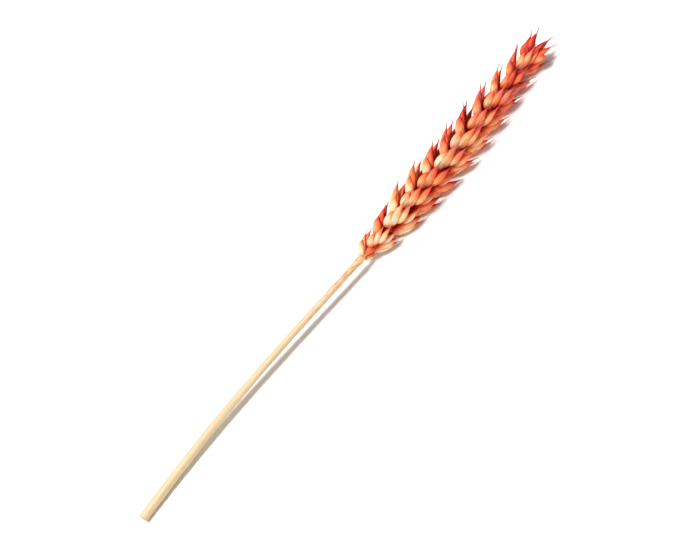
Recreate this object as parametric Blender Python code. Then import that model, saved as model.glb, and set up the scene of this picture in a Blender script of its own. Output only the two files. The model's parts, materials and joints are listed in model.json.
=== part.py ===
"""A dried wheat ear on its cut straw, lying on a surface.

The ear is one grown head: a jointed rachis that carries two ranks of spikelets, each of them a
fan of husked florets between two glumes. The straw is the stem that it was cut with, and it is
hollow at the cut. Metres, +Z up. The stalk runs along +X, and the origin is on the surface,
under the middle of the part's box.
"""

import math
import random
from dataclasses import dataclass

import bmesh
import bpy
from mathutils import Matrix, Vector

# Straw, from the neck under the ear down to the cut end
STRAW_LENGTH = 0.110
STRAW_NECK_RADIUS = 0.0011
STRAW_CUT_RADIUS = 0.0016
STRAW_BORE_RADIUS = 0.0011
STRAW_BORE_DEPTH = 0.012
STRAW_SIDES = 16
STRAW_RINGS = 20
BORE_RINGS = 4
NECK_GAP = 0.0003

# Step along the stalk over which its direction is taken
AXIS_STEP = 0.0001

# Rachis, the jointed axis of the ear, on a round collar
RACHIS_LENGTH = 0.0865
RACHIS_HALF_WIDTH = 0.0010
RACHIS_HALF_DEPTH = 0.0014
RACHIS_TIP_SHARE = 0.55
RACHIS_ZIGZAG = 0.0005
RACHIS_SIDES = 6
COLLAR_RADII = (0.00145, 0.0017, 0.0014)
COLLAR_LENGTH = 0.0016

# Core of packed grain inside the spikelets, which they stand out of
CORE_HALF_WIDTH = 0.0023
CORE_HALF_DEPTH = 0.0029
CORE_END_SHARE = 0.35
CORE_SIDES = 8
CORE_RINGS = 12

# Spikelets, set in turn on one side of the rachis and the other
SPIKELETS = 20
FIRST_SPIKELET = 0.0030
INTERNODE = 0.0042
BASE_SIZE = 0.74
TIP_SIZE = 0.76
FULL_FROM = 0.16
FULL_TO = 0.50
WIDEST_AT = 0.50
SPREAD_BASE = math.radians(18)
SPREAD_MIDDLE = math.radians(26)
SPREAD_TIP = math.radians(16)
SEAT = -0.0002
STUNTED = 1
NARROW_FROM = 16

# One full-grown scale of each kind
LEMMA_LENGTH = 0.0099
LEMMA_WIDTH = 0.0031
LEMMA_DEPTH = 0.0030
GLUME_LENGTH = 0.0078
GLUME_WIDTH = 0.0034
GLUME_DEPTH = 0.0025
POINT_AT_BASE = 0.0010
POINT_AT_TIP = 0.0028
GLUME_POINT_SHARE = 0.4
SCALE_SIDES = 6
SCALE_BANDS = 5
SWELL_SHIFT = 0.62
SWELL_FULLNESS = 0.72
SWELL_TAPER = 0.45
BACK_SHARE = 0.60
KEEL_RISE = 0.10
KEEL_SHARPNESS = 4
ARCH = 0.06

# Where the scales sit in a spikelet: lift up its axis, distance across the fan and outwards,
# lean out of the axis, turn of the back from the fan's side to the outside, and size
GLUME_SEAT = (-0.0006, 0.0012, 0.0002, math.radians(37), math.radians(22))
FLORET_SEATS = (
    (0.0004, 0.0006, 0.0004, math.radians(32), math.radians(34)),
    (0.0011, 0.0006, 0.0004, math.radians(32), math.radians(34)),
    (0.0021, 0.0005, 0.0007, math.radians(19), math.radians(56)),
    (0.0030, 0.0005, 0.0007, math.radians(19), math.radians(60)),
    (0.0042, 0.0001, 0.0007, math.radians(2), math.radians(84)),
)
FLORET_SHARES = (1.0, 1.0, 0.97, 0.92, 0.82)
FLORETS_FULL = 5
FLORETS_NARROW = 4

# How the stalk lies: a slow sway across the surface, a low crest in height, a roll with a twist
SWAY = 0.0024
SWAY_LENGTH = 0.235
SWAY_START = -0.135
REST_HEIGHT = 0.0055
CREST = 0.038
DROOP = (REST_HEIGHT - STRAW_CUT_RADIUS) / (STRAW_LENGTH + CREST) ** 2
ROLL_AT_BASE = math.radians(-6)
ROLL_AT_TIP = math.radians(0)

# Small differences between one scale and the next
SEED = 27
TURN_JITTER = math.radians(4.0)
SIZE_JITTER = 0.06

STRAW_COLOUR = (0.62, 0.43, 0.22, 1.0)
EAR_COLOUR = (0.80, 0.20, 0.07, 1.0)
DRY_ROUGHNESS = 0.62
FLOOR_BLOCK = 0.4


@dataclass(frozen=True)
class Scale:
    """One glume or husked floret: where it is rooted, how it lies and how big it is."""

    root: Vector
    along: Vector
    back: Vector
    length: float
    width: float
    depth: float
    point: float

    def surface(self, share, turn):
        """The point at a share of the length from root to tip, turned round from the keel."""
        fullness = SWELL_FULLNESS + SWELL_TAPER * share
        swell = math.sin(math.pi * share**SWELL_SHIFT) ** fullness
        depth_share = BACK_SHARE if math.cos(turn) > 0 else 1 - BACK_SHARE
        keel = KEEL_RISE * max(0.0, math.cos(turn)) ** KEEL_SHARPNESS
        out = self.depth * swell * (depth_share * math.cos(turn) + keel)
        out += self.length * ARCH * math.sin(math.pi * share)
        across = self.width / 2 * swell * math.sin(turn)
        side = self.along.cross(self.back)
        reach = (self.length + self.point) * share
        return self.root + self.along * reach + self.back * out + side * across


@dataclass(frozen=True)
class Spikelet:
    """A fan of scales on one side of the rachis, and the three directions that it grows by."""

    root: Vector
    axis: Vector
    outward: Vector
    across: Vector
    size: float
    florets: int
    point: float

    def scale(self, draw, sign, seat, length, width, depth, point):
        """One scale of the fan, on the side that sign gives, with its own small differences."""
        turns = [draw.uniform(-TURN_JITTER, TURN_JITTER) for _ in range(3)]
        grown = self.size * (1 + draw.uniform(-SIZE_JITTER, SIZE_JITTER))
        lift, across, out, lean, facing = seat
        fan = self.across * sign
        along = self.axis * math.cos(lean + turns[0]) + fan * math.sin(lean + turns[0])
        along = (along + self.outward * math.sin(turns[1])).normalized()
        back = fan * math.cos(facing + turns[2]) + self.outward * math.sin(facing + turns[2])
        back = (back - along * back.dot(along)).normalized()
        foot = self.root + (self.axis * lift + fan * across + self.outward * out) * self.size
        return Scale(foot, along, back, length * grown, width * grown, depth * grown, point)

    def scales(self, draw):
        """Two glumes, then the florets, which lean to one side of the fan and the other."""
        fan = []
        for sign in (-1, 1):
            glume = (GLUME_LENGTH, GLUME_WIDTH, GLUME_DEPTH, self.point * GLUME_POINT_SHARE)
            fan.append(self.scale(draw, sign, GLUME_SEAT, *glume))
        for number in range(self.florets):
            sign = -1 if number % 2 == 0 else 1
            share = FLORET_SHARES[number]
            lemma = (LEMMA_LENGTH * share, LEMMA_WIDTH * share, LEMMA_DEPTH * share, self.point)
            fan.append(self.scale(draw, sign, FLORET_SEATS[number], *lemma))
        return fan


def blend(low, high, share):
    """Between low and high, easing in and out."""
    share = min(1.0, max(0.0, share))
    return low + (high - low) * share * share * (3 - 2 * share)


def stalk_point(s):
    """The stalk's middle line, s metres from the foot of the ear towards its tip."""
    sway = SWAY * math.sin(2 * math.pi * (s - SWAY_START) / SWAY_LENGTH)
    return Vector((s, sway, REST_HEIGHT - DROOP * (s - CREST) ** 2))


def stalk_axes(s):
    """The stalk's direction, its left side and its upper side at s, with the ear's roll."""
    ahead = (stalk_point(s + AXIS_STEP) - stalk_point(s - AXIS_STEP)).normalized()
    level = Vector((0, 0, 1)).cross(ahead).normalized()
    roll = blend(ROLL_AT_BASE, ROLL_AT_TIP, s / RACHIS_LENGTH)
    left = Matrix.Rotation(roll, 3, ahead) @ level
    return ahead, left, ahead.cross(left)


def spikelet_size(share):
    """Size of a spikelet against a full-grown one, by its place up the ear."""
    from_foot = blend(BASE_SIZE, 1.0, share / FULL_FROM)
    to_tip = blend(1.0, TIP_SIZE, (share - FULL_TO) / (1 - FULL_TO))
    return from_foot * to_tip


def spikelet_spread(share):
    """Angle between the rachis and a spikelet, by its place up the ear."""
    if share < WIDEST_AT:
        return blend(SPREAD_BASE, SPREAD_MIDDLE, share / WIDEST_AT)
    return blend(SPREAD_MIDDLE, SPREAD_TIP, (share - WIDEST_AT) / (1 - WIDEST_AT))


def floret_count(index):
    """How many florets show in a spikelet: fewer at the foot and towards the tip."""
    return FLORETS_FULL if STUNTED <= index < NARROW_FROM else FLORETS_NARROW


def ear_spikelets():
    """The spikelets of both ranks, and the one that ends the ear, a quarter turn round."""
    grown = []
    for index in range(SPIKELETS):
        share = index / SPIKELETS
        s = FIRST_SPIKELET + INTERNODE * index
        ahead, left, up = stalk_axes(s)
        side = left if index % 2 == 0 else -left
        spread = spikelet_spread(share)
        axis = ahead * math.cos(spread) + side * math.sin(spread)
        outward = side * math.cos(spread) - ahead * math.sin(spread)
        size = spikelet_size(share)
        point = POINT_AT_BASE + (POINT_AT_TIP - POINT_AT_BASE) * share
        root = stalk_point(s) + side * SEAT
        grown.append(Spikelet(root, axis, outward, up, size, floret_count(index), point))
    s = FIRST_SPIKELET + INTERNODE * SPIKELETS
    ahead, left, up = stalk_axes(s)
    grown.append(Spikelet(stalk_point(s), ahead, up, left, TIP_SIZE, FLORETS_NARROW, POINT_AT_TIP))
    return grown


def ear_scales():
    """Every scale of the ear, from its foot to its tip."""
    draw = random.Random(SEED)
    return [scale for spikelet in ear_spikelets() for scale in spikelet.scales(draw)]


def new_object(name, bm, material):
    """A mesh object from a bmesh, with its material."""
    mesh = bpy.data.meshes.new(name)
    bm.to_mesh(mesh)
    bm.free()
    if material:
        mesh.materials.append(material)
    made = bpy.data.objects.new(name, mesh)
    bpy.context.scene.collection.objects.link(made)
    return made


def dry_material(name, colour):
    """A plain dry plant surface in one colour."""
    material = bpy.data.materials.new(name)
    material.use_nodes = True
    shader = material.node_tree.nodes["Principled BSDF"]
    shader.inputs["Base Color"].default_value = colour
    shader.inputs["Roughness"].default_value = DRY_ROUGHNESS
    shader.inputs["Metallic"].default_value = 0.0
    return material


def turn_outwards(bm):
    """Turns the faces of a closed mesh to the outside."""
    bmesh.ops.recalc_face_normals(bm, faces=bm.faces)
    if bm.calc_volume(signed=True) < 0:
        bmesh.ops.reverse_faces(bm, faces=bm.faces)


def scale_mesh(scale):
    """A closed boat of few sides: a ball drawn out along the scale's own surface."""
    bm = bmesh.new()
    bmesh.ops.create_uvsphere(bm, u_segments=SCALE_SIDES, v_segments=SCALE_BANDS, radius=1.0)
    for vertex in bm.verts:
        share = math.acos(max(-1.0, min(1.0, -vertex.co.z))) / math.pi
        vertex.co = scale.surface(share, math.atan2(vertex.co.y, vertex.co.x))
    turn_outwards(bm)
    return bm


def tube(stations, sides):
    """A closed tube through rings, each given as a middle, two half axes and their lengths."""
    bm = bmesh.new()
    rings = []
    for middle, left, up, half_left, half_up in stations:
        angles = [2 * math.pi * k / sides for k in range(sides)]
        spokes = [left * half_left * math.cos(a) + up * half_up * math.sin(a) for a in angles]
        rings.append([bm.verts.new(middle + spoke) for spoke in spokes])
    for near, far in zip(rings, rings[1:]):
        for k in range(sides):
            bm.faces.new((near[k], near[k - 1], far[k - 1], far[k]))
    bm.faces.new(rings[0])
    bm.faces.new(rings[-1])
    turn_outwards(bm)
    return bm


def rachis_stations():
    """Rings of the rachis: a round collar, then wedges that lean to one side and the other."""
    stations = []
    for number, radius in enumerate(COLLAR_RADII):
        s = COLLAR_LENGTH * number / (len(COLLAR_RADII) - 1)
        _, left, up = stalk_axes(s)
        stations.append((stalk_point(s), left, up, radius, radius))
    for index in range(SPIKELETS + 1):
        s = FIRST_SPIKELET + INTERNODE * index
        _, left, up = stalk_axes(s)
        share = 1 - (1 - RACHIS_TIP_SHARE) * index / SPIKELETS
        lean = left * RACHIS_ZIGZAG * (1 if index % 2 == 0 else -1)
        half_width = RACHIS_HALF_WIDTH * share
        half_depth = RACHIS_HALF_DEPTH * share
        stations.append((stalk_point(s) + lean, left, up, half_width, half_depth))
    return stations


def core_stations():
    """Rings of the packed middle of the ear, drawn in at both ends."""
    stations = []
    for ring in range(CORE_RINGS + 1):
        share = ring / CORE_RINGS
        s = FIRST_SPIKELET + INTERNODE * SPIKELETS * share
        _, left, up = stalk_axes(s)
        size = spikelet_size(share) * (CORE_END_SHARE if ring in (0, CORE_RINGS) else 1.0)
        stations.append((stalk_point(s), left, up, CORE_HALF_WIDTH * size, CORE_HALF_DEPTH * size))
    return stations


def make_ear(material):
    """Rachis and scales grown into one body, pressed flat where it touches the surface."""
    ear = new_object("ear", tube(rachis_stations(), RACHIS_SIDES), material)
    grown = bpy.data.collections.new("grown")
    bpy.context.scene.collection.children.link(grown)
    meshes = [tube(core_stations(), CORE_SIDES)]
    meshes += [scale_mesh(scale) for scale in ear_scales()]
    for number, bm in enumerate(meshes):
        piece = new_object(f"grown_{number}", bm, None)
        bpy.context.scene.collection.objects.unlink(piece)
        grown.objects.link(piece)
    join = ear.modifiers.new("grow_together", "BOOLEAN")
    join.operand_type = "COLLECTION"
    join.collection = grown
    join.operation = "UNION"
    join.solver = "MANIFOLD"
    floor = new_object("surface_block", floor_block(), None)
    subtract(ear, floor)
    keep_outer_shell(ear)
    for helper in [*grown.objects]:
        bpy.data.objects.remove(helper)
    bpy.data.collections.remove(grown)
    return ear


def floor_block():
    """A block whose top is the surface that the part lies on."""
    bm = bmesh.new()
    bmesh.ops.create_cube(bm, size=FLOOR_BLOCK)
    bmesh.ops.translate(bm, verts=bm.verts, vec=(0, 0, -FLOOR_BLOCK / 2))
    return bm


def subtract(made, cutter):
    """Cuts one object from another, applies all that is on it, and removes the cutter."""
    cut = made.modifiers.new("cut", "BOOLEAN")
    cut.object = cutter
    cut.operation = "DIFFERENCE"
    cut.solver = "MANIFOLD"
    bpy.context.view_layer.update()
    evaluated = made.evaluated_get(bpy.context.evaluated_depsgraph_get())
    mesh = bpy.data.meshes.new_from_object(evaluated)
    made.modifiers.clear()
    made.data = mesh
    bpy.data.objects.remove(cutter)


def keep_outer_shell(made):
    """Fills the hollows that growing together sealed, and drops any loose scrap."""
    bm = bmesh.new()
    bm.from_mesh(made.data)
    left = set(bm.verts)
    shells = []
    while left:
        shell = set()
        edge = [left.pop()]
        while edge:
            vertex = edge.pop()
            shell.add(vertex)
            linked = {link.other_vert(vertex) for link in vertex.link_edges} & left
            left -= linked
            edge += linked
        shells.append(shell)
    outer = max(shells, key=len)
    inner = [vertex for vertex in bm.verts if vertex not in outer]
    bmesh.ops.delete(bm, geom=inner, context="VERTS")
    bm.to_mesh(made.data)
    bm.free()


def straw_stations(start, end, rings, radius_at):
    """Round rings along the straw between two places, with the radius that each place has."""
    stations = []
    for ring in range(rings + 1):
        s = start + (end - start) * ring / rings
        _, left, up = stalk_axes(s)
        stations.append((stalk_point(s), left, up, radius_at(s), radius_at(s)))
    return stations


def straw_radius(s):
    """Outer radius of the straw, which thickens evenly from the neck to the cut."""
    share = -s / STRAW_LENGTH
    return STRAW_NECK_RADIUS + (STRAW_CUT_RADIUS - STRAW_NECK_RADIUS) * share


def make_straw(material):
    """The stem: a long cone from the neck to the cut, with the hollow that shows at the cut."""
    outside = straw_stations(-STRAW_LENGTH, -NECK_GAP, STRAW_RINGS, straw_radius)
    straw = new_object("straw", tube(outside, STRAW_SIDES), material)
    past_the_cut = -STRAW_LENGTH - STRAW_CUT_RADIUS
    bore_end = STRAW_BORE_DEPTH - STRAW_LENGTH
    hollow = straw_stations(past_the_cut, bore_end, BORE_RINGS, lambda s: STRAW_BORE_RADIUS)
    subtract(straw, new_object("bore", tube(hollow, STRAW_SIDES), None))
    return straw


def centre_on_origin(pieces):
    """Puts the origin under the middle of the box that holds the pieces."""
    points = [vertex.co for piece in pieces for vertex in piece.data.vertices]
    middle_x = (min(p.x for p in points) + max(p.x for p in points)) / 2
    middle_y = (min(p.y for p in points) + max(p.y for p in points)) / 2
    for piece in pieces:
        piece.data.transform(Matrix.Translation((-middle_x, -middle_y, 0)))


def main():
    """Clears the scene and makes the ear and its straw."""
    for old in list(bpy.data.objects):
        bpy.data.objects.remove(old)
    ear = make_ear(dry_material("ear", EAR_COLOUR))
    straw = make_straw(dry_material("straw", STRAW_COLOUR))
    centre_on_origin([ear, straw])


main()
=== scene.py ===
"""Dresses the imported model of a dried, coral-dyed wheat ear on its cut straw.

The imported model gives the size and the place. Every husk grows by the rule that placed its solid,
from the same seeded draws, and is drawn here as a thin shell with its own keel, edge and point.
Metres, +Z up. The stalk runs along +X, from the cut end of the straw to the tip of the ear.
"""

from __future__ import annotations

import json
import logging
import math
import random
from collections.abc import Callable, Iterator, Sequence
from dataclasses import dataclass, field, replace
from enum import Enum
from functools import partial

import bmesh
import bpy
from mathutils import Matrix, Vector

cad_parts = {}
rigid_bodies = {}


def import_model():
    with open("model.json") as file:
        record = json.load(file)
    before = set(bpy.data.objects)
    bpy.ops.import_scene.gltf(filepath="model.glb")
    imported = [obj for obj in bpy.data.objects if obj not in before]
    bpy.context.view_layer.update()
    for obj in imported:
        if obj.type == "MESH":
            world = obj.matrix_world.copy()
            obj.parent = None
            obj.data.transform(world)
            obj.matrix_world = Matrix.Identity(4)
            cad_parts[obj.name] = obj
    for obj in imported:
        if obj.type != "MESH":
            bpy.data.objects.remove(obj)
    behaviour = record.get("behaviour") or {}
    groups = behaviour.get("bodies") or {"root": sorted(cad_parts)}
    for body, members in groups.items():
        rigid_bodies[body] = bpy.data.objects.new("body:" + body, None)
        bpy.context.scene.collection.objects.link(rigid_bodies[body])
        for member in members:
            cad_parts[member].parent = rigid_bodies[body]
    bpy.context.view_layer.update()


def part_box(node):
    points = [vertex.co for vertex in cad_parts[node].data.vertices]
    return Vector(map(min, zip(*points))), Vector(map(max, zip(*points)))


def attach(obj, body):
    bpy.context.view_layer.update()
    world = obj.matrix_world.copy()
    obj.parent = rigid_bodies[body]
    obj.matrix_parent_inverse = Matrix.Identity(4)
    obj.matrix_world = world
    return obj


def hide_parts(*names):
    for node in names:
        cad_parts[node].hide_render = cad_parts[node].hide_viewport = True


LOG = logging.getLogger("wheat_ear")
BODY = "root"
MM = 0.001
Span = tuple[float, float]
Colour = tuple[float, float, float]


class Part(Enum):
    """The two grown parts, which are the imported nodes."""

    EAR = "ear"
    STRAW = "straw"


class Kind(Enum):
    """The two kinds of scale in a spikelet."""

    GLUME = "glume"
    LEMMA = "lemma"


def blend(low: float, high: float, share: float) -> float:
    """Goes from low to high, easing in and out.

    Args:
        low: the value at a share of 0 or less.
        high: the value at a share of 1 or more.
        share: how far along, held between 0 and 1.

    Returns:
        The value at that share.
    """
    share = min(1.0, max(0.0, share))
    return low + (high - low) * share * share * (3 - 2 * share)


def ease(share: float, span: Span) -> float:
    """Goes from 0 at the low end of a span to 1 at its high end, easing in and out."""
    return blend(0.0, 1.0, (share - span[0]) / (span[1] - span[0]))


@dataclass(frozen=True)
class Wave:
    """A sine: how high it goes, how fast it turns with its place, and its shift in radians."""

    height: float
    rate: float
    shift: float = 0.0

    def at(self, place: float, shifted: float = 1.0) -> float:
        """Gives the wave at a place, with its shift times another value."""
        return self.height * math.sin(self.rate * place + self.shift * shifted)


def linear(red: float, green: float, blue: float) -> tuple[float, float, float, float]:
    """Turns a colour as a screen shows it, from 0 to 255, into the shader's linear values.

    Args:
        red: the screen's red.
        green: the screen's green.
        blue: the screen's blue.

    Returns:
        Red, green, blue and a full alpha, linear, from 0 to 1.
    """
    bend, slope, toe = 0.04045, 12.92, 0.055
    channels = [channel / 255 for channel in (red, green, blue)]
    out = [c / slope if c <= bend else ((c + toe) / (1 + toe)) ** 2.4 for c in channels]
    return out[0], out[1], out[2], 1.0


@dataclass(frozen=True)
class Stalk:
    """The line that straw and ear grow along, and how it lies on the surface."""

    straw_length: float = 110 * MM
    neck_radius: float = 1.1 * MM
    cut_radius: float = 1.6 * MM
    neck_gap: float = 0.3 * MM
    rachis_length: float = 86.5 * MM
    sway: float = 2.4 * MM
    sway_length: float = 235 * MM
    sway_start: float = -135 * MM
    rest_height: float = 5.5 * MM
    crest: float = 38 * MM
    roll_at_base: float = math.radians(-6)
    roll_at_tip: float = 0.0
    shift: Vector = field(default_factory=Vector)

    def settled(self, straw_box: tuple[Vector, Vector]) -> Stalk:
        """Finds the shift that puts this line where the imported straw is.

        Args:
            straw_box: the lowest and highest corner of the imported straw.

        Returns:
            The same stalk, shifted.
        """
        lowest = straw_box[0]
        _, cut_left, cut_up = self.axes(-self.straw_length)
        _, neck_left, neck_up = self.axes(-self.neck_gap)
        cut_reach = self.cut_radius * math.hypot(cut_left.x, cut_up.x)
        neck_reach = self.neck_radius * math.hypot(neck_left.y, neck_up.y)
        cut_x = self.point(-self.straw_length).x - cut_reach
        neck_y = self.point(-self.neck_gap).y - neck_reach
        return replace(self, shift=Vector((lowest.x - cut_x, lowest.y - neck_y, 0.0)))

    def point(self, s: float) -> Vector:
        """Gives the middle of the stalk, s metres from the ear's foot towards its tip.

        Args:
            s: the place along the stalk, in metres.

        Returns:
            The middle there.
        """
        sway = self.sway * math.sin(2 * math.pi * (s - self.sway_start) / self.sway_length)
        span = self.straw_length + self.crest
        droop = (self.rest_height - self.cut_radius) / span**2
        height = self.rest_height - droop * (s - self.crest) ** 2
        return self.shift + Vector((s, sway, height))

    def axes(self, s: float) -> tuple[Vector, Vector, Vector]:
        """Gives the stalk's direction at s, its left side and its upper side, with the roll.

        Args:
            s: the place along the stalk, in metres.

        Returns:
            The three directions, of length 1.
        """
        step = 0.1 * MM
        ahead = (self.point(s + step) - self.point(s - step)).normalized()
        level = Vector((0, 0, 1)).cross(ahead).normalized()
        roll = blend(self.roll_at_base, self.roll_at_tip, s / self.rachis_length)
        left = Matrix.Rotation(roll, 3, ahead) @ level
        return ahead, left, ahead.cross(left)

    def out_from(self, point: Vector) -> float:
        """Gives how far a point lies out from the stalk's middle line."""
        s = point.x - self.shift.x
        return (point - self.point(s)).length


@dataclass(frozen=True)
class Scale:
    """One glume or lemma: where it is rooted, how it lies and how big it has grown."""

    kind: Kind
    root: Vector
    along: Vector
    back: Vector
    length: float
    width: float
    depth: float
    point: float
    height: float
    tint: float
    side: float

    @property
    def reach(self) -> float:
        """The whole length, with the point."""
        return self.length + self.point

    def place(self, share: float, out: float, across: float) -> Vector:
        """Gives a place by its share of the reach, and how far it lies out and across."""
        side = self.along.cross(self.back)
        return self.root + self.along * self.reach * share + self.back * out + side * across


@dataclass(frozen=True)
class Seat:
    """Where a scale sits in its spikelet, on a full-grown one.

    Lift is how far up the axis it is rooted, across and out are how far from the axis, lean is the
    angle between the axis and the scale, facing turns its back from the fan's side to the outside,
    both in degrees, and share is its size against the largest of its kind.
    """

    kind: Kind
    lift: float
    across: float
    out: float
    lean: float
    facing: float
    share: float


@dataclass(frozen=True)
class Growth:
    """The rule that the ear grows by: two ranks of spikelets, each a fan of scales."""

    seed: int = 27
    turn_jitter: float = math.radians(4.0)
    size_jitter: float = 0.06
    spikelets: int = 20
    first_spikelet: float = 3.0 * MM
    internode: float = 4.2 * MM
    base_size: float = 0.74
    tip_size: float = 0.76
    full_from: float = 0.16
    full_to: float = 0.50
    widest_at: float = 0.50
    spread_base: float = math.radians(18)
    spread_middle: float = math.radians(26)
    spread_tip: float = math.radians(16)
    seat_out: float = -0.2 * MM
    stunted: int = 1
    narrow_from: int = 16
    lemma_size: tuple[float, float, float] = (9.9 * MM, 3.1 * MM, 3.0 * MM)
    glume_size: tuple[float, float, float] = (7.8 * MM, 3.4 * MM, 2.5 * MM)
    point_at_base: float = 1.0 * MM
    point_at_tip: float = 2.8 * MM
    glume_point_share: float = 0.4
    florets_full: int = 5
    florets_narrow: int = 4
    glume: Seat = Seat(Kind.GLUME, -0.6 * MM, 1.2 * MM, 0.2 * MM, 37, 22, 1.0)
    florets: tuple[Seat, ...] = (
        Seat(Kind.LEMMA, 0.4 * MM, 0.6 * MM, 0.4 * MM, 32, 34, 1.0),
        Seat(Kind.LEMMA, 1.1 * MM, 0.6 * MM, 0.4 * MM, 32, 34, 1.0),
        Seat(Kind.LEMMA, 2.1 * MM, 0.5 * MM, 0.7 * MM, 19, 56, 0.97),
        Seat(Kind.LEMMA, 3.0 * MM, 0.5 * MM, 0.7 * MM, 19, 60, 0.92),
        Seat(Kind.LEMMA, 4.2 * MM, 0.1 * MM, 0.7 * MM, 2, 84, 0.82),
    )

    def size_at(self, share: float) -> float:
        """Gives a spikelet's size against a full-grown one, by its share of the ear.

        Args:
            share: its share of the way from foot to tip.

        Returns:
            The size, up to 1.
        """
        from_foot = blend(self.base_size, 1.0, share / self.full_from)
        to_tip = blend(1.0, self.tip_size, (share - self.full_to) / (1 - self.full_to))
        return from_foot * to_tip

    def spread_at(self, share: float) -> float:
        """Gives the angle between rachis and spikelet, by its share of the ear.

        Args:
            share: its share of the way from foot to tip.

        Returns:
            The angle in radians.
        """
        widest = self.widest_at
        if share < widest:
            return blend(self.spread_base, self.spread_middle, share / widest)
        return blend(self.spread_middle, self.spread_tip, (share - widest) / (1 - widest))

    def floret_count(self, index: int) -> int:
        """Gives how many florets show in a spikelet, fewer at the foot and towards the tip."""
        full = self.stunted <= index < self.narrow_from
        return self.florets_full if full else self.florets_narrow

    def scales(self, stalk: Stalk) -> Iterator[Scale]:
        """Grows every scale of the ear, from its foot to its tip.

        Args:
            stalk: the line that the ear grows along.

        Yields:
            The scales, in the order in which their small differences are drawn.
        """
        draw = random.Random(self.seed)
        tints = random.Random(self.seed + 1)
        for index in range(self.spikelets + 1):
            last = index == self.spikelets
            share = index / self.spikelets
            s = self.first_spikelet + self.internode * index
            ahead, left, up = stalk.axes(s)
            side = left if index % 2 == 0 else -left
            spread = 0.0 if last else self.spread_at(share)
            axis = ahead * math.cos(spread) + side * math.sin(spread)
            outward = side * math.cos(spread) - ahead * math.sin(spread)
            root = stalk.point(s) + side * self.seat_out
            frame = (root, axis, outward, up)
            if last:
                frame = (stalk.point(s), ahead, up, left)
            size = self.tip_size if last else self.size_at(share)
            point = self.point_at_base + (self.point_at_tip - self.point_at_base) * share
            florets = self.floret_count(index)
            yield from self.fan(draw, tints, frame, size, florets, point, share)

    def fan(
        self,
        draw: random.Random,
        tints: random.Random,
        frame: tuple[Vector, Vector, Vector, Vector],
        size: float,
        florets: int,
        point: float,
        height: float,
    ) -> Iterator[Scale]:
        """Grows one spikelet: two glumes, then florets that lean to one side and the other.

        Args:
            draw: the seeded draws that turn and size each scale.
            tints: the seeded draws for how each scale took the dye.
            frame: the spikelet's root, its axis, its outward side and the way that it fans.
            size: its size against a full-grown one.
            florets: how many florets show.
            point: the length of a floret's awn point.
            height: the spikelet's share of the ear's length.

        Yields:
            The spikelet's scales.
        """
        root, axis, outward, across = frame
        tier = tints.uniform(-1, 1)
        rows = [(-1, self.glume), (1, self.glume)]
        rows += [(-1 if number % 2 == 0 else 1, self.florets[number]) for number in range(florets)]
        for sign, seat in rows:
            turns = [draw.uniform(-self.turn_jitter, self.turn_jitter) for _ in range(3)]
            grown = size * (1 + draw.uniform(-self.size_jitter, self.size_jitter))
            fan = across * sign
            lean = math.radians(seat.lean) + turns[0]
            facing = math.radians(seat.facing) + turns[2]
            along = axis * math.cos(lean) + fan * math.sin(lean)
            along = (along + outward * math.sin(turns[1])).normalized()
            back = fan * math.cos(facing) + outward * math.sin(facing)
            back = (back - along * back.dot(along)).normalized()
            foot = root + (axis * seat.lift + fan * seat.across + outward * seat.out) * size
            glume = seat.kind is Kind.GLUME
            sizes = self.glume_size if glume else self.lemma_size
            length, width, depth = (value * seat.share * grown for value in sizes)
            tip = point * self.glume_point_share if glume else point
            tint = (tier + tints.uniform(-1, 1)) / 2
            yield Scale(seat.kind, foot, along, back, length, width, depth, tip, height, tint, sign)


@dataclass(frozen=True)
class Spot:
    """One point of a drawn surface, and the values that its finish reads there."""

    place: Vector
    marks: tuple[float, ...]


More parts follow.
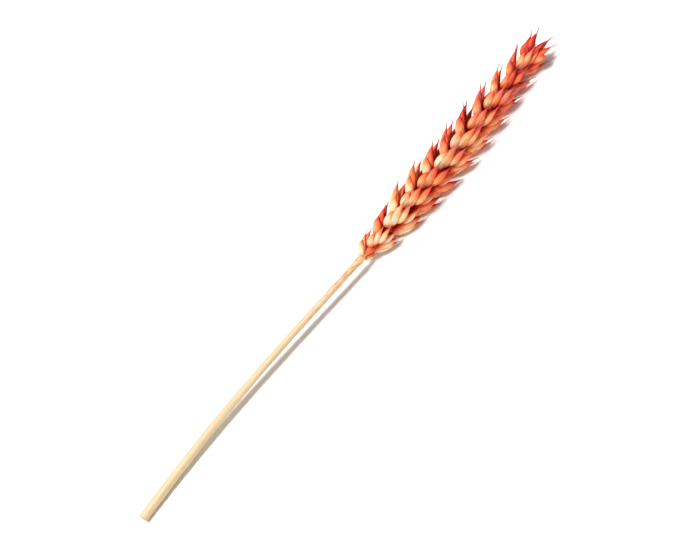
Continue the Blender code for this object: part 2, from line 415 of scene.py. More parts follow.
class Drawing:
    """A mesh being drawn: shapes are added as balls and sheets whose points are then placed."""

    closes: float = 0.001 * MM

    def __init__(self, marks: Sequence[str], lowest: float = 0.0) -> None:
        """Starts an empty drawing.

        Args:
            marks: the names of the values that each point carries for the finish.
            lowest: the height that no point goes below.
        """
        self.lowest = lowest
        self.bm = bmesh.new()
        self.layers = [self.bm.verts.layers.float.new(name) for name in marks]

    def put(self, vertex: bmesh.types.BMVert, spot: Spot) -> None:
        """Puts a vertex in its place, no lower than allowed, with its values.

        Args:
            vertex: the vertex to place.
            spot: where it goes, and what it carries.
        """
        vertex.co = spot.place
        vertex.co.z = max(self.lowest, vertex.co.z)
        for layer, value in zip(self.layers, spot.marks):
            vertex[layer] = value

    def ball(self, sides: int, rings: int, place: Callable[[float, float], Spot]) -> None:
        """Adds a closed shape: a ball whose rings are drawn out along a form.

        Args:
            sides: how many sides it has round its axis.
            rings: how many bands it has from end to end.
            place: gives the spot at a share of the way from end to end, and a turn in radians.
        """
        made = bmesh.ops.create_uvsphere(self.bm, u_segments=sides, v_segments=rings, radius=1.0)
        for vertex in made["verts"]:
            share = math.acos(max(-1.0, min(1.0, -vertex.co.z))) / math.pi
            self.put(vertex, place(share, math.atan2(vertex.co.y, vertex.co.x)))

    def sheet(self, across: int, along: int, place: Callable[[float, float], Spot]) -> None:
        """Adds an open shell: a grid that is bent to a form.

        Args:
            across: how many strips it has from edge to edge.
            along: how many bands it has from root to tip.
            place: gives the spot at a share of the way from root to tip, and at -1 to 1 across.
        """
        made = bmesh.ops.create_grid(self.bm, x_segments=across, y_segments=along, size=1.0)
        tip = [vertex for vertex in made["verts"] if vertex.co.y > 1 - 1 / along]
        for vertex in made["verts"]:
            self.put(vertex, place((vertex.co.y + 1) / 2, vertex.co.x))
        bmesh.ops.remove_doubles(self.bm, verts=tip, dist=self.closes)

    def finished(self, name: str, material: bpy.types.Material) -> bpy.types.Object:
        """Makes the drawing a smooth-shaded object with its material.

        Args:
            name: the piece's name.
            material: its finish.

        Returns:
            The new object, at the origin.
        """
        mesh = bpy.data.meshes.new(name)
        self.bm.to_mesh(mesh)
        self.bm.free()
        mesh.shade_smooth()
        mesh.materials.append(material)
        made = bpy.data.objects.new(name, mesh)
        bpy.context.scene.collection.objects.link(made)
        return made


@dataclass(frozen=True)
class Pattern:
    """How fine a noise pattern is, how many layers it has, and how strong the finer ones are."""

    scale: float
    detail: float
    rough: float


class Value:
    """A shader socket that takes Python's operators, and adds a Math node for each."""

    def __init__(self, paint: Paint, socket: bpy.types.NodeSocket) -> None:
        """Wraps a socket.

        Args:
            paint: the material that the socket is in.
            socket: the output to read.
        """
        self.paint = paint
        self.socket = socket

    def __add__(self, other: Value | float) -> Value:
        """Adds."""
        return self.paint.maths("ADD", self, other)

    def __radd__(self, other: float) -> Value:
        """Adds, with the number first."""
        return self.paint.maths("ADD", other, self)

    def __sub__(self, other: Value | float) -> Value:
        """Takes away."""
        return self.paint.maths("SUBTRACT", self, other)

    def __rsub__(self, other: float) -> Value:
        """Takes this from a number."""
        return self.paint.maths("SUBTRACT", other, self)

    def __mul__(self, other: Value | float) -> Value:
        """Multiplies."""
        return self.paint.maths("MULTIPLY", self, other)

    def __rmul__(self, other: float) -> Value:
        """Multiplies, with the number first."""
        return self.paint.maths("MULTIPLY", other, self)

    def ripple(self) -> Value:
        """Takes the sine, moved to go between 0 and 1."""
        return self.paint.maths("SINE", self) * 0.5 + 0.5

    def centred(self) -> Value:
        """Moves a value that goes from 0 to 1, so that its middle is at 0."""
        return self - 0.5

    def held(self) -> Value:
        """Holds the value between 0 and 1."""
        return self.paint.maths("MINIMUM", self.paint.maths("MAXIMUM", self, 0.0), 1.0)

    def over(self, span: Span) -> Value:
        """Goes smoothly from 0 at the low end of a span to 1 at its high end.

        Args:
            span: its low and its high end.

        Returns:
            The value, from 0 to 1.
        """
        settings = {"interpolation_type": "SMOOTHSTEP"}
        feeds = {"Value": self, "From Min": span[0], "From Max": span[1]}
        return self.paint.node("ShaderNodeMapRange", settings, feeds)


Feed = Value | float | Sequence[float]


class Paint:
    """A material under construction."""

    def __init__(self, name: str) -> None:
        """Starts a material on a Principled shader.

        Args:
            name: the material's name.
        """
        self.material = bpy.data.materials.new(name)
        self.material.use_nodes = True
        self.tree = self.material.node_tree
        self.shader = self.tree.nodes["Principled BSDF"]

    def node(
        self,
        kind: str,
        settings: dict[str, object] | None = None,
        feeds: dict[str | int, Feed] | None = None,
        output: str | int = 0,
    ) -> Value:
        """Adds a node.

        Args:
            kind: the node's type.
            settings: its properties, set first; stops are a ramp's places and colours.
            feeds: what its inputs get, by name or number: a link, a number or a colour.
            output: which of its outputs to read.

        Returns:
            The output.
        """
        made = self.tree.nodes.new(kind)
        for name, value in (settings or {}).items():
            if name == "stops":
                ramp = made.color_ramp
                while len(ramp.elements) < len(value):
                    ramp.elements.new(0.5)
                for element, (place, colour) in zip(ramp.elements, value):
                    element.position = place
                    element.color = colour
            else:
                setattr(made, name, value)
        for name, value in (feeds or {}).items():
            if isinstance(value, Value):
                self.tree.links.new(value.socket, made.inputs[name])
            else:
                made.inputs[name].default_value = value
        return Value(self, made.outputs[output])

    def maths(self, operation: str, *values: Value | float) -> Value:
        """Adds a Math node on up to three values."""
        return self.node("ShaderNodeMath", {"operation": operation}, dict(enumerate(values)))

    def mark(self, name: str) -> Value:
        """Reads a value that the piece's points carry."""
        return self.node("ShaderNodeAttribute", {"attribute_name": name}, output="Fac")

    def position(self) -> Value:
        """Reads the place on the object."""
        return self.node("ShaderNodeTexCoord", output="Object")

    def vector(self, x: Feed, y: Feed, z: Feed) -> Value:
        """Puts three values together as a vector."""
        return self.node("ShaderNodeCombineXYZ", feeds={"X": x, "Y": y, "Z": z})

    def noise(self, vector: Value, pattern: Pattern) -> Value:
        """Adds a noise pattern and reads its value.

        Args:
            vector: the place that it is read at.
            pattern: how it looks.

        Returns:
            The noise, from 0 to 1.
        """
        feeds = {"Vector": vector, "Scale": pattern.scale}
        feeds |= {"Detail": pattern.detail, "Roughness": pattern.rough}
        return self.node("ShaderNodeTexNoise", feeds=feeds, output="Fac")

    def ramp(self, value: Value, stops: Sequence[tuple[float, Sequence[float]]]) -> Value:
        """Turns a value into a colour."""
        return self.node("ShaderNodeValToRGB", {"stops": stops}, {"Fac": value}, "Color")

    def mix(self, share: Value, low: Value, high: Feed) -> Value:
        """Mixes two colours."""
        settings = {"data_type": "RGBA", "clamp_factor": True}
        return self.node("ShaderNodeMix", settings, {0: share, 6: low, 7: high}, 2)

    def bump(self, height: Value) -> Value:
        """Turns a height in metres into a normal."""
        feeds = {"Height": height, "Distance": 1.0, "Strength": 1.0}
        return self.node("ShaderNodeBump", feeds=feeds, output="Normal")

    def dress(self, **sockets: Feed) -> bpy.types.Material:
        """Feeds the shader's sockets, named in small letters with underscores.

        Args:
            sockets: links or fixed values, such as base_color or roughness.

        Returns:
            The finished material.
        """
        inputs = {socket.name.lower().replace(" ", "_"): socket for socket in self.shader.inputs}
        for name, value in sockets.items():
            if isinstance(value, Value):
                self.tree.links.new(value.socket, inputs[name])
            else:
                inputs[name].default_value = value
        return self.material


HUSK_MARKS = ("along", "across", "tint", "height", "out")


@dataclass(frozen=True)
class HuskFinish:
    """Dry papery husk that was dipped in coral dye, with painted light and shade in its colour:
    cream where it bulges, partly paler dye and partly a painted highlight, and deep red in its
    folds, which is painted shade.

    The amount of dye, with painted shade added, picks the colour between cream and deep red. Each
    value is what one cause adds to it: how the scale took the dye, how high it is on the ear, its
    tip, and the blotches, fibres and nerves of its skin add dye; its edge and its root add coral
    dye and painted shade; the folds near the middle of the ear add painted shade only.
    """

    name: str
    cream: Colour = (255, 234, 200)
    straw_orange: Colour = (255, 196, 138)
    orange: Colour = (251, 132, 74)
    coral: Colour = (240, 78, 46)
    # Deep red at the dye's far end, which the painted shade in the folds and at the edges reaches.
    deep_red: Colour = (172, 18, 8)
    maroon: Colour = (84, 46, 42)
    pink: Colour = (252, 150, 128)
    straw_orange_at: float = 0.22
    orange_at: float = 0.46
    coral_at: float = 0.70
    dye: float = 0.27
    dye_by_tint: float = 0.24
    dye_by_height: float = 0.34
    # The edge and root values add coral dye together with painted shade.
    edge_dye_and_shade: float = 0.42
    dye_by_tip: float = 0.44
    root_dye_and_shade: float = 0.34
    # Painted shade: how much deeper red the folds near the stalk's middle line get.
    painted_fold_shade: float = 0.54
    dye_by_blotch: float = 0.50
    dye_by_fibre: float = 0.55
    dye_by_nerve: float = 0.06
    tip_span: Span = (0.34, 0.92)
    root_span: Span = (0.0, 0.22)
    # Where the painted fold shade fades out from the middle line, and where it sets in above the
    # foot.
    out_of_folds_mm: Span = (1.6, 5.2)
    above_foot: Span = (-0.05, 0.12)
    haze: Pattern = Pattern(150.0, 2.0, 0.5)
    haze_span: Span = (0.46, 0.68)
    haze_up_ear: Span = (0.15, 0.9)
    haze_share: float = 0.55
    burnt_span: Span = (0.86, 1.0)
    burnt_least: float = 0.35
    fibres: Pattern = Pattern(3.0, 4.0, 0.6)
    fibres_across: float = 9.0
    fibres_along: float = 1.3
    fibres_up_ear: float = 9.0
    fibres_apart: float = 17.0
    blotches: Pattern = Pattern(320.0, 3.0, 0.6)
    grain: Pattern = Pattern(2600.0, 2.0, 0.6)
    nerves: float = 7.0
    nerve_relief: float = 0.05 * MM
    fibre_relief: float = 0.03 * MM
    grain_relief: float = 0.012 * MM
    roughness: float = 0.52
    rough_by_fibre: float = 0.2
    rough_by_grain: float = 0.1
    gloss: float = 0.3

    def material(self) -> bpy.types.Material:
        """Builds the husk's material from the values that the scales carry.

        Returns:
            The material.
        """
        paint = Paint(self.name)
        along, across, tint, height, out = (paint.mark(name) for name in HUSK_MARKS)
        where = paint.position()
        side = across * self.fibres_across + tint * self.fibres_apart
        fibre_place = paint.vector(side, along * self.fibres_along, height * self.fibres_up_ear)
        fibres = paint.noise(fibre_place, self.fibres)
        blotches = paint.noise(where, self.blotches)
        grain = paint.noise(where, self.grain)
        nerve = (across * (math.pi * self.nerves)).ripple()

        # Coral dye with painted shade: deeper red at a scale's edges and at its root, where it lies
        # under the scale before.
        edge = across * across
        tip = along.over(self.tip_span)
        root = 1.0 - along.over(self.root_span)
        # Painted shade: deeper red close to the stalk's middle line, where the folds between the
        # scales lie, but not at the ear's foot.
        fold = (1.0 - out.over(self.out_of_folds_mm)) * height.over(self.above_foot)
        # The amount of dye, with the painted shade in it; it stays low where a scale bulges, which
        # gives paler dye there and a painted cream highlight.
        dye = self.dye + tint * self.dye_by_tint + height.centred() * self.dye_by_height
        dye = dye + edge * self.edge_dye_and_shade + tip * self.dye_by_tip + fold * self.painted_fold_shade
        dye = dye + root * self.root_dye_and_shade + blotches.centred() * self.dye_by_blotch
        dye = dye + fibres.centred() * self.dye_by_fibre + nerve.centred() * self.dye_by_nerve
        stops = [
            (0.0, linear(*self.cream)),
            (self.straw_orange_at, linear(*self.straw_orange)),
            (self.orange_at, linear(*self.orange)),
            (self.coral_at, linear(*self.coral)),
            (1.0, linear(*self.deep_red)),
        ]
        colour = paint.ramp(dye.held(), stops)
        haze = paint.noise(where, self.haze).over(self.haze_span) * height.over(self.haze_up_ear)
        colour = paint.mix(haze * self.haze_share, colour, linear(*self.pink))
        burnt = along.over(self.burnt_span) * (self.burnt_least + fibres)
        colour = paint.mix(burnt.held(), colour, linear(*self.maroon))
        relief = nerve * self.nerve_relief + fibres * self.fibre_relief + grain * self.grain_relief
        rough = fibres.centred() * self.rough_by_fibre + grain.centred() * self.rough_by_grain
        return paint.dress(
            base_color=colour,
            roughness=self.roughness + rough,
            normal=paint.bump(relief),
            specular_ior_level=self.gloss,
            metallic=0.0,
        )


STRAW_MARKS = ("along", "round_x", "round_y", "inside")


@dataclass(frozen=True)
class Wrapped:
    """A pattern that is wrapped round the straw, and how it is drawn out along and round it."""

    along: float
    round_it: float
    pattern: Pattern


@dataclass(frozen=True)
class StrawFinish:
    """Dry cream straw with lengthwise streaks, splashed with dye under the ear."""

    name: str
    cream: Colour = (242, 220, 184)
    tan: Colour = (216, 182, 134)
    brown: Colour = (150, 108, 68)
    green: Colour = (176, 166, 112)
    coral: Colour = (234, 112, 64)
    pith: Colour = (236, 222, 190)
    brown_at: float = 0.30
    tan_at: float = 0.42
    cream_at: float = 0.62
    streaks: Wrapped = Wrapped(1.6, 8.0, Pattern(2.2, 4.0, 0.6))
    fine: Wrapped = Wrapped(4.0, 26.0, Pattern(2.0, 3.0, 0.6))
    patches: Wrapped = Wrapped(9.0, 1.0, Pattern(1.6, 2.0, 0.5))
    specks: Wrapped = Wrapped(120.0, 4.0, Pattern(1.5, 2.0, 0.7))
    splashes: Wrapped = Wrapped(30.0, 0.9, Pattern(1.5, 2.0, 0.6))
    streak_share: float = 0.6
    green_span: Span = (0.55, 0.75)
    green_share: float = 0.28
    near_ear: Span = (0.55, 1.0)
    splash_span: Span = (0.54, 0.78)
    splash_near_ear: float = 0.12
    splash_feather: float = 0.3
    splash_least: float = 0.4
    speck_span: Span = (0.62, 0.72)
    speck_share: float = 0.6
    coral_share: float = 0.85
    streak_relief: float = 0.05 * MM
    fine_relief: float = 0.025 * MM
    roughness: float = 0.36
    rough_by_fine: float = 0.3
    gloss: float = 0.5

    def material(self) -> bpy.types.Material:
        """Builds the straw's material from the values that its points carry.

        Returns:
            The material.
        """
        paint = Paint(self.name)
        along, round_x, round_y, inside = (paint.mark(name) for name in STRAW_MARKS)
        made = []
        for wrap in (self.streaks, self.fine, self.patches, self.specks, self.splashes):
            sides = (round_x * wrap.round_it, round_y * wrap.round_it)
            made.append(paint.noise(paint.vector(along * wrap.along, *sides), wrap.pattern))
        streaks, fine, patches, specks, splashes = made

        stops = [
            (self.brown_at, linear(*self.brown)),
            (self.tan_at, linear(*self.tan)),
            (self.cream_at, linear(*self.cream)),
        ]
        fibre = streaks * self.streak_share + fine * (1 - self.streak_share)
        colour = paint.ramp(fibre, stops)
        greenish = patches.over(self.green_span) * self.green_share
        colour = paint.mix(greenish, colour, linear(*self.green))
        near = along.over(self.near_ear)
        feathered = splashes + near * self.splash_near_ear + fine.centred() * self.splash_feather
        splashed = feathered.over(self.splash_span) * (self.splash_least + streaks) * near
        specked = specks.over(self.speck_span) * self.speck_share * along
        flush = (splashed + specked).held() * self.coral_share
        colour = paint.mix(flush, colour, linear(*self.coral))
        colour = paint.mix(inside, colour, linear(*self.pith))
        return paint.dress(
            base_color=colour,
            roughness=self.roughness + fine.centred() * self.rough_by_fine,
            normal=paint.bump(streaks * self.streak_relief + fine * self.fine_relief),
            specular_ior_level=self.gloss,
            metallic=0.0,
        )


def show(piece: bpy.types.Object, part: Part) -> bpy.types.Object:
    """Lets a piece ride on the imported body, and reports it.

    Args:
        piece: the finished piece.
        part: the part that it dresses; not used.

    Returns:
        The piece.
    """
    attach(piece, BODY)
    LOG.info("%s: %d faces", piece.name, len(piece.data.polygons))
    return piece


@dataclass
class Ear:
    """The ear: rachis, glumes, lemmas, the paleas inside them, and their awn points.

    Each grid is how many strips a shape has across or round it, and how many bands along it. Each
    mark_ value is what the finish reads as the place along or across a scale.
    """

    stalk: Stalk
    growth: Growth = field(default_factory=Growth)
    shell: float = 0.13 * MM
    shell_grid: tuple[int, int] = (20, 22)
    arch: float = 0.06
    swell_shift: float = 0.62
    swell_fullness: float = 0.72
    taper: float = 0.45
    back_share: float = 0.60
    keel_sharpness: int = 8
    keel_fade: float = 0.5
    edge_flutter: float = 0.07 * MM
    edge_waves: tuple[Wave, ...] = (Wave(1.0, 9.0, 6.0), Wave(0.5, 21.0, 9.0))
    flutter_at_edge: int = 3
    flutter_to_tip: int = 12
    root_share: float = 0.0008
    root_crowding: float = 1.35
    opens: Span = (0.55, 1.0)
    opens_by: float = 0.3

    lemma_closed_to: float = 0.16
    lemma_wrap: float = math.radians(120)
    lemma_keel: float = 0.18
    point_in_boat: float = 0.3
    mark_lemma: float = 0.94

    glume_closed_to: float = 0.85
    glume_wrap: float = math.radians(128)
    glume_inner_wrap: float = math.radians(116)
    glume_keel: float = 0.34
    keel_at_root: float = 0.6
    keel_growth: float = 0.6
    glume_swell_to: float = 0.9
    glume_fullness: float = 0.8
    shoulder_rise: Span = (0.0, 0.4)
    shoulder_fall: Span = (0.52, 0.94)
    beak: Span = (0.74, 1.0)
    beak_thinned: float = 0.94
    beak_width: float = 0.3
    beak_taper: float = 1.15
    mark_glume: float = 0.96

    palea_grid: tuple[int, int] = (12, 14)
    palea_fill: float = 0.88
    palea_start: float = 0.02
    palea_reach: float = 0.93
    mark_palea: float = 0.9

    awn_grid: tuple[int, int] = (8, 10)
    awn_root: float = 0.84
    awn_radius: float = 0.27 * MM
    awn_taper: float = 0.8
    awn_opens: float = 6.0
    awn_closes: float = 12.0
    awn_bend: float = 0.10
    awn_bend_by_tint: float = 2.0

    rachis_grid: tuple[int, int] = (28, 160)
    rachis_from: float = -0.7 * MM
    rachis_past_end: float = 0.4 * MM
    rachis_half_width: float = 1.0 * MM
    rachis_half_depth: float = 1.4 * MM
    rachis_tip_share: float = 0.55
    rachis_zigzag: float = 0.5 * MM
    rachis_ends: float = 60.0
    joint_narrow: float = 0.8
    joint_flare: float = 0.3
    foot_width: float = 0.95
    collar_rise: float = 0.5 * MM
    collar_at: float = 0.5 * MM
    collar_spread: float = 0.9 * MM
    collar_depth: float = 0.6
    collar_lobes: Wave = Wave(0.12, 5.0)
    # Out distance given to the collar, which keeps it out of the painted fold shade.
    collar_out: float = 5.2 * MM
    collar_tint: float = -0.7
    pale_to: float = 2.5 * MM
    foot_length: float = 9 * MM
    # Out distance given to the rachis, which puts it in the painted fold shade.
    rachis_out: float = 2.2 * MM
    rachis_tint: float = 0.1
    rachis_streaks: Wave = Wave(0.5, 3.0)
    mark_rachis: float = 0.25

    def swell(self, share: float) -> float:
        """Gives a scale's fullness at a share of its length: plump near the root, then pointed.

        Args:
            share: the share of the way from root to tip.

        Returns:
            The fullness, from 0 to 1.
        """
        share = min(1.0, max(0.0, share))
        pointed = self.swell_fullness + self.taper * share
        return math.sin(math.pi * share**self.swell_shift) ** pointed

    def marks(self, scale: Scale, place: Vector, along: float, across: float) -> Spot:
        """Puts together a husk's spot, with the values that the finish reads."""
        out = self.stalk.out_from(place) / MM
        return Spot(place, (along, across, scale.tint, scale.height, out))

    def section(
        self, scale: Scale, deep: float, wide: float, turn: float, keel: float
    ) -> tuple[float, float]:
        """Gives where a scale's skin lies in one cross-section.

        Args:
            scale: the scale.
            deep: the share of its full depth that it has there.
            wide: the share of its full width that it has there.
            turn: the turn round from the keel, in radians.
            keel: how far the keel stands up, against the depth.

        Returns:
            How far out and how far across the skin lies.
        """
        cosine = math.cos(turn)
        depth_share = self.back_share if cosine > 0 else 1 - self.back_share
        ridge = keel / 2 * max(0.0, cosine) ** self.keel_sharpness * deep**self.keel_fade
        out = scale.depth * (deep * depth_share * cosine + ridge)
        return out, scale.width / 2 * wide * math.sin(turn)

    def bow(self, scale: Scale, share: float) -> float:
        """Gives how far a scale bows out at a share of its length."""
        return scale.length * self.arch * math.sin(math.pi * share)

    def flutter(self, scale: Scale, share: float, across: float) -> float:
        """Gives the papery unevenness of a scale's edge, none at its tip.

        Args:
            scale: the scale.
            share: the share of the way from root to tip.
            across: from -1 at one edge to 1 at the other.

        Returns:
            How far out it moves the skin.
        """
        wave = sum(wave.at(share, scale.tint) for wave in self.edge_waves)
        edge = abs(across) ** self.flutter_at_edge * (1 - share**self.flutter_to_tip)
        return self.edge_flutter * wave * edge

    def body_share(self, scale: Scale) -> float:
        """Gives the share of a lemma's reach that its boat takes up, before its awn point alone."""
        return (scale.length + self.point_in_boat * scale.point) / scale.reach

    def from_root(self, share: float) -> float:
        """Spaces the bands of a shell closer together where it swells from its root."""
        return self.root_share + share**self.root_crowding * (1 - self.root_share)

    def wrap(self, widest: float, share: float, closed_to: float) -> float:
        """Gives how far round a shell's edge folds: right round at its root, less at its tip."""
        closed = blend(math.pi, widest, share / closed_to)
        return closed * (1 - self.opens_by * ease(share, self.opens))

    def lemma(self, scale: Scale, share: float, across: float) -> Spot:
        """Gives a spot on a lemma: a plump boat whose edges fold over the palea.

        Args:
            scale: the floret's scale.
            share: the share of the way from its root to its tip.
            across: from -1 at one edge to 1 at the other.

        Returns:
            The spot.
        """
        share = self.from_root(share)
        full = self.swell(share)
        wrap = self.wrap(self.lemma_wrap, share, self.lemma_closed_to)
        out, side = self.section(scale, full, full, across * wrap, self.lemma_keel)
        out += self.bow(scale, share) + self.flutter(scale, share, across)
        place = scale.place(share * self.body_share(scale), out, side)
        return self.marks(scale, place, share * self.mark_lemma, across)

    def palea(self, scale: Scale, share: float, turn: float) -> Spot:
        """Gives a spot on a palea, the closed body that fills a lemma.

        Args:
            scale: the floret's scale.
            share: the share of the way from end to end.
            turn: the turn round it, in radians.

        Returns:
            The spot.
        """
        full = self.swell(share) * self.palea_fill
        out, side = self.section(scale, full, full, turn, 0.0)
        reach = self.palea_start + share * self.body_share(scale) * self.palea_reach
        place = scale.place(reach, out + self.bow(scale, share), side)
        return self.marks(scale, place, share * self.mark_palea, self.mark_palea)

    def glume(self, scale: Scale, share: float, across: float) -> Spot:
        """Gives a spot on a glume: a keeled shell with one broad shoulder and a short beak.

        Args:
            scale: the glume's scale.
            share: the share of the way from its root to its tip.
            across: from -1 at one edge to 1 at the other.

        Returns:
            The spot.
        """
        share = self.from_root(share)
        deep = self.swell(share * self.glume_swell_to) ** self.glume_fullness
        deep *= 1 - self.beak_thinned * ease(share, self.beak)
        shoulder = deep + (1 - deep) * ease(share, self.shoulder_rise)
        shoulder *= 1 - ease(share, self.shoulder_fall)
        outer = across * scale.side > 0
        wide = max(self.beak_width * (self.beak_taper - share), shoulder if outer else deep)
        widest = self.glume_wrap if outer else self.glume_inner_wrap
        wrap = self.wrap(widest, share, self.glume_closed_to)
        keel = self.glume_keel * (self.keel_at_root + self.keel_growth * share)
        out, side = self.section(scale, deep, wide, across * wrap, keel)
        out += self.bow(scale, share) + self.flutter(scale, share, across)
        return self.marks(scale, scale.place(share, out, side), share * self.mark_glume, across)

    def awn(self, scale: Scale, share: float, turn: float) -> Spot:
        """Gives a spot on an awn point, the bristle that ends a lemma, above the surface.

        Args:
            scale: the floret's scale.
            share: the share of the way from its root to its tip.
            turn: the turn round it, in radians.

        Returns:
            The spot.
        """
        root = self.awn_root
        start = self.body_share(scale) * root
        rounded = min(1.0, self.awn_opens * share, self.awn_closes * (1 - share))
        radius = self.awn_radius * (1 - self.awn_taper * share) * rounded
        curve = self.awn_bend * (1 + self.awn_bend_by_tint * scale.tint) * share**2
        bend = self.bow(scale, root) * (1 - share) + scale.point * curve
        middle = scale.place(start + (1 - start) * share, bend, 0.0)
        middle.z = max(middle.z, radius)
        round_it = scale.back * math.cos(turn) + scale.along.cross(scale.back) * math.sin(turn)
        return self.marks(scale, middle + round_it * radius, root + (1 - root) * share, 0.0)

    def rachis(self, share: float, turn: float) -> Spot:
        """Gives a spot on the rachis, which steps from side to side, with its collar at the foot.

        Args:
            share: the share of the way from foot to tip.
            turn: the turn round it, in radians.

        Returns:
            The spot.
        """
        growth = self.growth
        length = self.stalk.rachis_length + self.rachis_past_end - self.rachis_from
        s = self.rachis_from + length * share
        _, left, up = self.stalk.axes(s)
        step = (s - growth.first_spikelet) / growth.internode
        below = max(0, math.floor(step))
        fraction = step - below
        sign = 1 if below % 2 == 0 else -1
        zigzag, flare = 0.0, self.foot_width
        if step > 0:
            zigzag = sign * (1 - 2 * blend(0, 1, fraction)) * self.rachis_zigzag
            flare = self.joint_narrow + self.joint_flare * fraction**2
        grown = min(1.0, max(0.0, step / growth.spikelets))
        flare *= 1 - (1 - self.rachis_tip_share) * grown
        collar = self.collar_rise * math.exp(-(((s - self.collar_at) / self.collar_spread) ** 2))
        collar *= 1 + self.collar_lobes.at(turn)
        ends = min(1.0, self.rachis_ends * share, self.rachis_ends * (1 - share)) ** 0.5
        wide = (self.rachis_half_width * flare + collar) * ends
        deep = (self.rachis_half_depth * flare + collar * self.collar_depth) * ends
        middle = self.stalk.point(s) + left * zigzag
        place = middle + left * wide * math.cos(turn) + up * deep * math.sin(turn)
        # Past the pale collar the rachis takes more dye and, through its out mark, the painted fold
        # shade.
        dyed = (s - self.pale_to) / (self.foot_length - self.pale_to)
        out = blend(self.collar_out, self.rachis_out, dyed) / MM
        tint = blend(self.collar_tint, self.rachis_tint, dyed)
        return Spot(place, (self.mark_rachis, self.rachis_streaks.at(turn), tint, share, out))

    def build(self) -> None:
        """Draws the ear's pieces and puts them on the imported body."""
        scales = list(self.growth.scales(self.stalk))
        glumes = [scale for scale in scales if scale.kind is Kind.GLUME]
        lemmas = [scale for scale in scales if scale.kind is Kind.LEMMA]
        husk = HuskFinish("lemma_husk").material()
        glume_husk = HuskFinish("glume_husk", dye=0.13, roughness=0.46, nerves=9.0).material()
        inner = HuskFinish("palea_husk", dye=0.55, roughness=0.6).material()

        drawing = Drawing(HUSK_MARKS)
        drawing.ball(*self.rachis_grid, self.rachis)
        rachis = show(drawing.finished("rachis", inner), Part.EAR)
        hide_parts(Part.EAR.value)

        for name, group, material, draw in (
            ("lemmas", lemmas, husk, self.lemma),
            ("glumes", glumes, glume_husk, self.glume),
        ):
            drawing = Drawing(HUSK_MARKS, self.shell)
            for scale in group:
                drawing.sheet(*self.shell_grid, partial(draw, scale))
            piece = drawing.finished(name, material)
            self.thicken(piece)
            show(piece, Part.EAR)

        for name, grid, material, draw in (
            ("paleas", self.palea_grid, inner, self.palea),
            ("awn_points", self.awn_grid, husk, self.awn),
        ):
            drawing = Drawing(HUSK_MARKS)
            for scale in lemmas:
                drawing.ball(*grid, partial(draw, scale))
            show(drawing.finished(name, material), Part.EAR)

    def thicken(self, piece: bpy.types.Object) -> None:
        """Gives an open shell its papery thickness, on the inner side.

        Args:
            piece: the shell.
        """
        wall = piece.modifiers.new("wall", "SOLIDIFY")
        wall.thickness = self.shell
        wall.offset = -1.0
        wall.use_rim = True


@dataclass
class Straw:
    """The cut straw: ridged outside, hollow at the cut."""

    stalk: Stalk
    sides: int = 48
    bore_radius: float = 1.1 * MM
    bore_depth: float = 12 * MM
    bore_rings: int = 16
    rim_rings: int = 6
    cap_rings: int = 3
    outer_rings: int = 130
    ridges: Wave = Wave(0.02 * MM, 19.0, 1.0)
    ridge_wander: Wave = Wave(3.0, 90.0)
    uneven: Wave = Wave(0.015, 410.0, 2.0)
    jags: tuple[Wave, ...] = (Wave(0.12 * MM, 2.0, 0.7), Wave(0.05 * MM, 7.0))
    jag_fade: int = 8
    bore_rounding: float = 3.0
    rim_round: Wave = Wave(0.06 * MM, math.pi)
    rim_pith: float = 0.8
    tucked: float = 0.8 * MM
    neck_rise: float = 0.16 * MM
    neck_rise_length: float = 3.5 * MM

    @property
    def rings(self) -> int:
        """How many bands the whole skin has."""
        return self.bore_rings + self.rim_rings + self.outer_rings + self.cap_rings

    def outside(self, s: float, turn: float) -> float:
        """Gives the outer radius at s, with the ridges and a slow unevenness.

        Args:
            s: the place along the stalk, in metres.
            turn: the turn round it, in radians.

        Returns:
            The radius.
        """
        stalk = self.stalk
        share = -s / stalk.straw_length
        radius = stalk.neck_radius + (stalk.cut_radius - stalk.neck_radius) * share
        ridge = self.ridges.at(turn, self.ridge_wander.at(s))
        uneven = radius * self.uneven.at(s, math.sin(turn))
        rise = self.neck_rise * ease(s, (-self.neck_rise_length, 0.0))
        return radius + ridge + uneven + rise

    def spot(self, share: float, turn: float) -> Spot:
        """Gives a spot on the straw.

        Args:
            share: the share of the way from the blind end of its hollow, out and round its cut
                edge, to its closed end inside the ear.
            turn: the turn round it, in radians.

        Returns:
            The spot.
        """
        stalk = self.stalk
        ring = share * self.rings
        cut = -stalk.straw_length
        jag = sum(wave.at(turn) for wave in self.jags)
        inside = 0.0
        if ring <= self.bore_rings:
            part = ring / self.bore_rings
            s = cut + self.bore_depth * (1 - part) + jag * part
            radius = self.bore_radius * min(1.0, self.bore_rounding * part) ** 0.5
            inside = 1.0
        elif ring <= self.bore_rings + self.rim_rings:
            part = (ring - self.bore_rings) / self.rim_rings
            s = cut + jag - self.rim_round.at(part)
            radius = self.bore_radius + (self.outside(cut, turn) - self.bore_radius) * part
            inside = self.rim_pith * (1 - part)
        elif ring <= self.rings - self.cap_rings:
            part = (ring - self.bore_rings - self.rim_rings) / self.outer_rings
            faded = jag * (1 - part) ** self.jag_fade
            s = cut + faded + (stalk.straw_length + self.tucked) * part
            radius = self.outside(s, turn)
        else:
            part = (self.rings - ring) / self.cap_rings
            s = self.tucked
            radius = self.outside(s, turn) * part
        _, left, up = stalk.axes(s)
        place = stalk.point(s) + (left * math.cos(turn) + up * math.sin(turn)) * radius
        along = 1 + s / stalk.straw_length
        return Spot(place, (along, math.cos(turn), math.sin(turn), inside))

    def build(self) -> None:
        """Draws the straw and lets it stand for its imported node."""
        drawing = Drawing(STRAW_MARKS)
        drawing.ball(self.sides, self.rings, self.spot)
        piece = drawing.finished("straw_skin", StrawFinish("straw").material())
        show(piece, Part.STRAW)
        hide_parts(Part.STRAW.value)


@dataclass(frozen=True)
class Lamp:
    """A square soft light: the way to it in the picture, its distance, its side and its watts."""

    name: str
    right: float
    up: float
    back: float
    distance: float
    size: float
    power: float


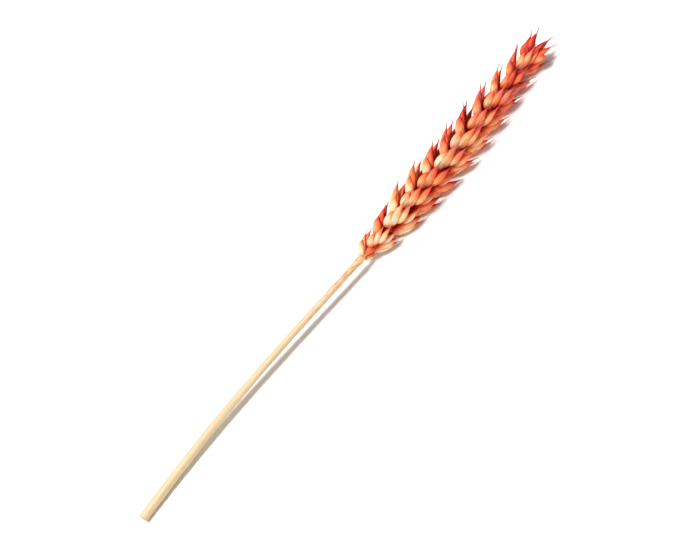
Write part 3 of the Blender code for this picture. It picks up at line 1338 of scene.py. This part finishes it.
@dataclass(frozen=True)
class Studio:
    """A plain pale floor, soft light from the upper left of the picture, and the camera."""

    frame_width: int = 700
    frame_height: int = 560
    pixels_per_metre: float = 3050.0
    axis_angle: float = math.radians(50)
    tilt: float = math.radians(36)
    lens: float = 85.0
    floor_size: float = 16.0
    floor_colour: Colour = (250, 249, 247)
    floor_roughness: float = 0.9
    surrounding: float = 0.36
    aim: tuple[float, float, float] = (0.0, 0.0, 4 * MM)
    lamps: tuple[Lamp, ...] = (
        Lamp("key", -0.55, 0.45, 0.75, 2.4, 0.69, 64.0),
        Lamp("fill", 0.9, -0.2, 0.8, 2.4, 1.8, 6.0),
    )

    def directions(self) -> tuple[Vector, Vector, Vector]:
        """Gives the picture's right, its up and the way back to the camera, in the frame.

        Returns:
            The three directions, of length 1.
        """
        stalk = Vector((1, 0, 0))
        back = Vector((0, -math.sin(self.tilt), math.cos(self.tilt)))
        level = back.cross(stalk)
        right = stalk * math.cos(self.axis_angle) - level * math.sin(self.axis_angle)
        up = stalk * math.sin(self.axis_angle) + level * math.cos(self.axis_angle)
        return right, up, back

    def camera(self) -> None:
        """Makes the camera that looks down on the stalk."""
        right, up, back = self.directions()
        data = bpy.data.cameras.new("camera")
        data.lens = self.lens
        width = self.frame_width / self.pixels_per_metre
        distance = width * data.lens / data.sensor_width
        made = bpy.data.objects.new("camera", data)
        rotation = Matrix((right, up, back)).transposed()
        place = Vector(self.aim) + back * distance
        made.matrix_world = Matrix.Translation(place) @ rotation.to_4x4()
        bpy.context.scene.collection.objects.link(made)
        bpy.context.scene.camera = made

    def light(self, lamp: Lamp) -> None:
        """Makes a light that shines on the place that the camera looks at.

        Args:
            lamp: where it stands, and how large and strong it is.
        """
        right, up, back = self.directions()
        towards = right * lamp.right + up * lamp.up + back * lamp.back
        data = bpy.data.lights.new(lamp.name, "AREA")
        data.size = lamp.size
        data.energy = lamp.power
        made = bpy.data.objects.new(lamp.name, data)
        place = Vector(self.aim) + towards.normalized() * lamp.distance
        turn = towards.to_track_quat("Z", "Y").to_matrix().to_4x4()
        made.matrix_world = Matrix.Translation(place) @ turn
        bpy.context.scene.collection.objects.link(made)

    def build(self) -> None:
        """Sets up the floor, the lights, the surrounding light and the camera."""
        drawing = Drawing(())
        bmesh.ops.create_grid(drawing.bm, x_segments=1, y_segments=1, size=self.floor_size / 2)
        pale = linear(*self.floor_colour)
        finish = Paint("floor").dress(base_color=pale, roughness=self.floor_roughness)
        floor = drawing.finished("floor", finish)
        for lamp in self.lamps:
            self.light(lamp)
        world = bpy.data.worlds.new("studio")
        world.use_nodes = True
        background = world.node_tree.nodes["Background"].inputs
        background["Color"].default_value = (1, 1, 1, 1)
        background["Strength"].default_value = self.surrounding
        bpy.context.scene.world = world
        bpy.context.scene.view_settings.view_transform = "Standard"
        self.camera()


def main() -> None:
    """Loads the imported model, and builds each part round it."""
    logging.basicConfig(level=logging.INFO, format="%(message)s")
    for old in list(bpy.data.objects):
        bpy.data.objects.remove(old)
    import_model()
    stalk = Stalk().settled(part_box(Part.STRAW.value))
    Straw(stalk).build()
    Ear(stalk).build()
    Studio().build()


if __name__ == "__main__":
    main()
